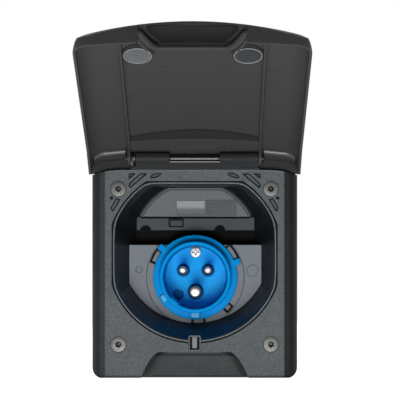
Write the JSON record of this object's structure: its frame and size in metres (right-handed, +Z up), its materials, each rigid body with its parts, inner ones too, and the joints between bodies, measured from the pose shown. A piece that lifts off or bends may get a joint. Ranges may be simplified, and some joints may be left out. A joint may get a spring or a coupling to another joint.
{
  "type": "caravan external power inlet",
  "caption": "Flush wall power inlet for a caravan: square front frame with a magnetic hinged lid, deep recess and a round blue shrouded pin inlet, with a gland for the cable behind.",
  "frame": {"origin": "centre of the four mounting screws, in the plane where the gasket meets the wall", "axes": "+X to the right seen from outside, +Y into the wall, +Z up"},
  "size_m": [0.1268, 0.223, 0.1948],
  "materials": {
    "frame_plastic": "fine moulded grain",
    "housing_plastic": "satin moulded",
    "lid_plastic": "satin moulded",
    "pedestal_plastic": "satin moulded",
    "label_film": "satin film",
    "inlet_plastic": "moulded",
    "rubber": "moulded rubber",
    "screw_steel": "stainless",
    "nickel": "nickel plated",
    "magnet_nickel": "nickel plated",
    "brass": "turned"
  },
  "bodies": {
    "socket": {"front_frame": "frame_plastic", "wall_gasket": "rubber", "mounting_screws": "screw_steel", "recess_housing": "housing_plastic", "aperture_seal": "rubber", "inlet_pedestal": "pedestal_plastic", "shelf_seal": "rubber", "label_panel": "pedestal_plastic", "blank_label": "label_film", "inlet_shroud": "inlet_plastic", "inlet_seal": "rubber", "locking_ring": "housing_plastic", "contact_block": "inlet_plastic", "line_pin": "nickel", "neutral_pin": "nickel", "earth_pin": "nickel", "block_screw": "screw_steel", "terminal_screws": "brass", "rear_cover": "housing_plastic", "cover_seal": "rubber", "cover_screws": "screw_steel", "gland_body": "housing_plastic", "gland_grommet": "rubber", "gland_nut": "housing_plastic", "magnet_keepers": "screw_steel", "hinge_pin": "screw_steel", "pin_clip": "screw_steel"},
    "lid": {"lid_shell": "lid_plastic", "lid_magnet_left": "magnet_nickel", "lid_magnet_right": "magnet_nickel"}
  },
  "joints": [
    {"name": "lid_hinge", "type": "hinge", "parent": "socket", "child": "lid", "pos_m": [0, -0.011, 0.0647], "axis": [1, 0, 0], "range_deg": [0, 114]}
  ]
}
